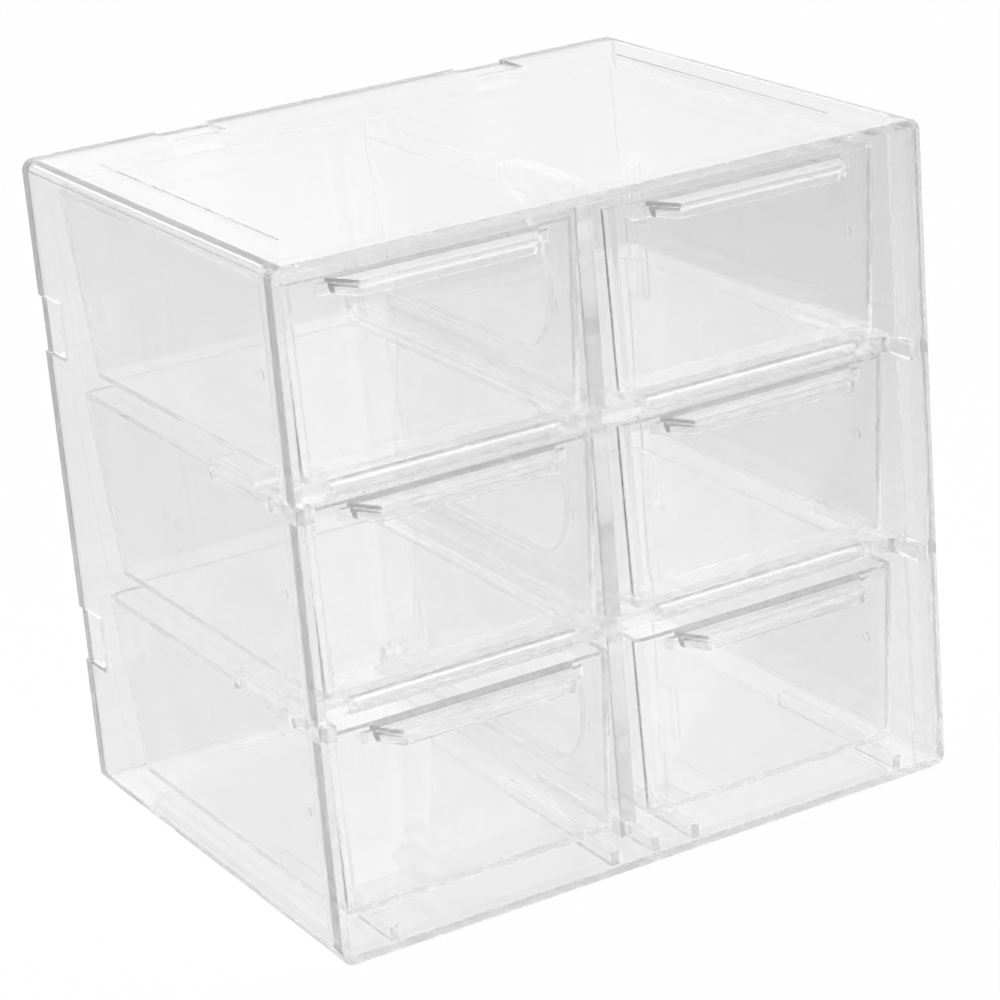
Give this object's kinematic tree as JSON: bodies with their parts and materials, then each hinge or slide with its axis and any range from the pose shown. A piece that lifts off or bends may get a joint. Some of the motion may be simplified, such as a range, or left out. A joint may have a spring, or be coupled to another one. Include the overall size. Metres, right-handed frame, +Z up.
{
  "type": "jewelry organizer",
  "caption": "Clear moulded box with a grid of pull-out trays for jewelry, a ridged pull on the front of each tray, a centre divider, crossbars and a hooked-on back panel.",
  "frame": {"origin": "centre of the box's footprint on the surface it stands on", "axes": "+Z up, the front with the pulls faces -Y, +X to the right of someone facing the front"},
  "size_m": [0.19, 0.148, 0.184],
  "materials": {
    "clear_case": "clear polished polystyrene",
    "clear_back": "clear polished polystyrene",
    "clear_frame": "clear polished polystyrene",
    "clear_drawer": "clear polished polystyrene"
  },
  "bodies": {
    "box": {"case": "clear_case", "back_panel": "clear_back", "centre_divider": "clear_frame", "lower_crossbar": "clear_frame", "upper_crossbar": "clear_frame"},
    "bottom_left_tray": {"bottom_left_drawer": "clear_drawer"},
    "bottom_right_tray": {"bottom_right_drawer": "clear_drawer"},
    "middle_left_tray": {"middle_left_drawer": "clear_drawer"},
    "middle_right_tray": {"middle_right_drawer": "clear_drawer"},
    "top_left_tray": {"top_left_drawer": "clear_drawer"},
    "top_right_tray": {"top_right_drawer": "clear_drawer"}
  },
  "joints": [
    {"name": "bottom_left_slide", "type": "slide", "parent": "box", "child": "bottom_left_tray", "axis": [0, -1, 0], "range_m": [0, 0.1]},
    {"name": "bottom_right_slide", "type": "slide", "parent": "box", "child": "bottom_right_tray", "axis": [0, -1, 0], "range_m": [0, 0.1]},
    {"name": "middle_left_slide", "type": "slide", "parent": "box", "child": "middle_left_tray", "axis": [0, -1, 0], "range_m": [0, 0.1]},
    {"name": "middle_right_slide", "type": "slide", "parent": "box", "child": "middle_right_tray", "axis": [0, -1, 0], "range_m": [0, 0.1]},
    {"name": "top_left_slide", "type": "slide", "parent": "box", "child": "top_left_tray", "axis": [0, -1, 0], "range_m": [0, 0.1]},
    {"name": "top_right_slide", "type": "slide", "parent": "box", "child": "top_right_tray", "axis": [0, -1, 0], "range_m": [0, 0.1]}
  ]
}
